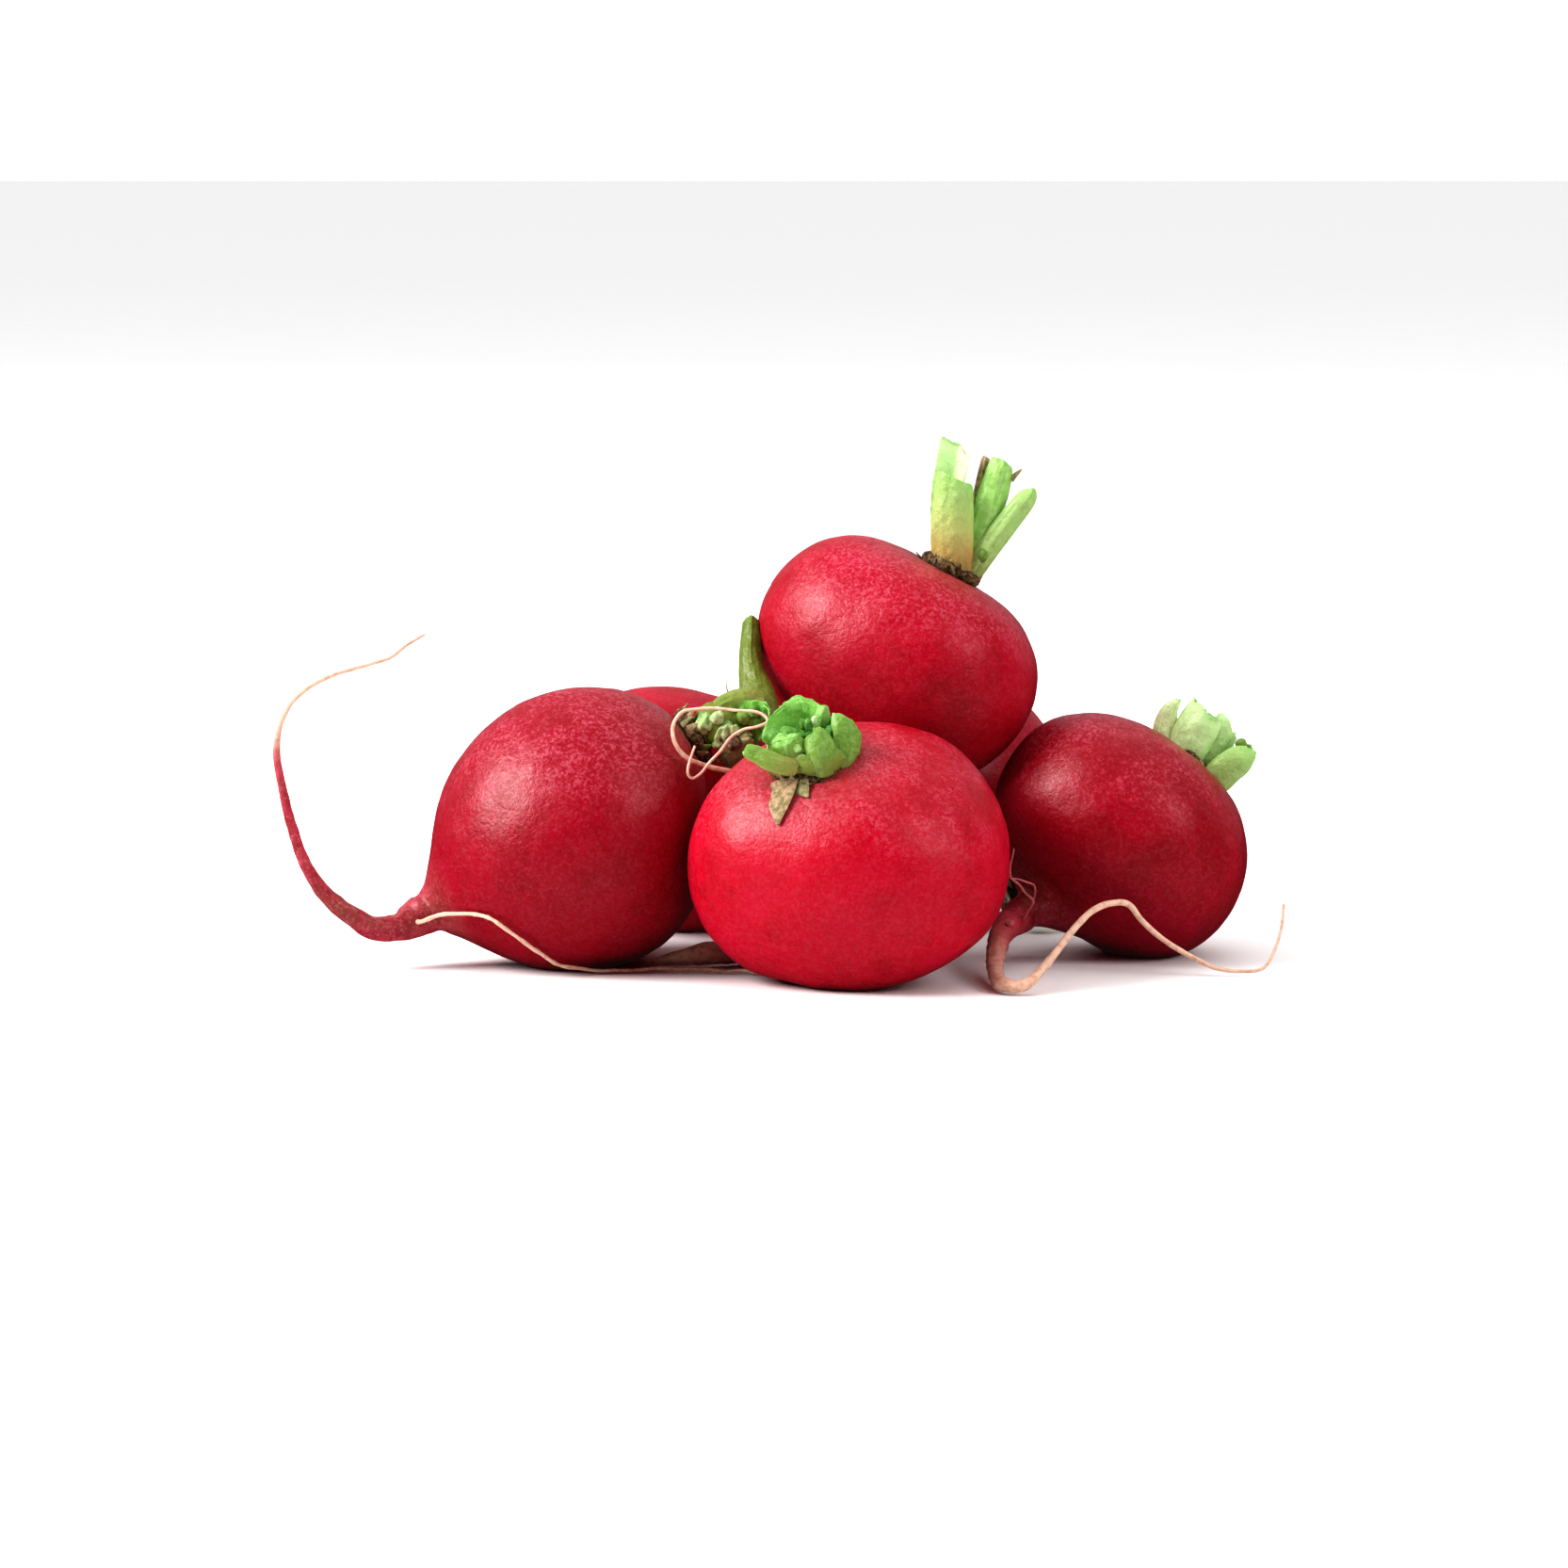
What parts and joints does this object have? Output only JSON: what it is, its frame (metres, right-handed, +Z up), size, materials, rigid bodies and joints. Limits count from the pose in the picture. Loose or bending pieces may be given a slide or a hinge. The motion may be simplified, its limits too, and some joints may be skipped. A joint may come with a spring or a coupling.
{
  "type": "bunch of radishes",
  "caption": "Bunch of round red radishes with cut green leaf stalks and long tap roots, heaped with one radish resting on the others.",
  "frame": {"origin": "on the table under the middle of the bunch's bounding box", "axes": "+Z up; +X to the right, along the bunch's greatest length; the front radish is towards -Y"},
  "size_m": [0.1358, 0.1002, 0.0703],
  "materials": {
    "radish_skin": "thin crimson skin, semi-gloss, finely mottled",
    "crown_cork": "dry corky brown, matte",
    "leaf_stalk": "fresh green stalk, satin, paler at the cut ends"
  },
  "bodies": {
    "root": {"front_root": "radish_skin", "front_crown": "crown_cork", "front_leaf_stalks": "leaf_stalk", "left_root": "radish_skin", "left_crown": "crown_cork", "left_leaf_stalks": "leaf_stalk", "right_root": "radish_skin", "right_crown": "crown_cork", "right_leaf_stalks": "leaf_stalk", "top_root": "radish_skin", "top_crown": "crown_cork", "top_leaf_stalks": "leaf_stalk", "rear_left_root": "radish_skin", "rear_left_crown": "crown_cork", "rear_left_leaf_stalks": "leaf_stalk", "rear_right_root": "radish_skin", "rear_right_crown": "crown_cork", "rear_right_leaf_stalks": "leaf_stalk"}
  },
  "joints": []
}
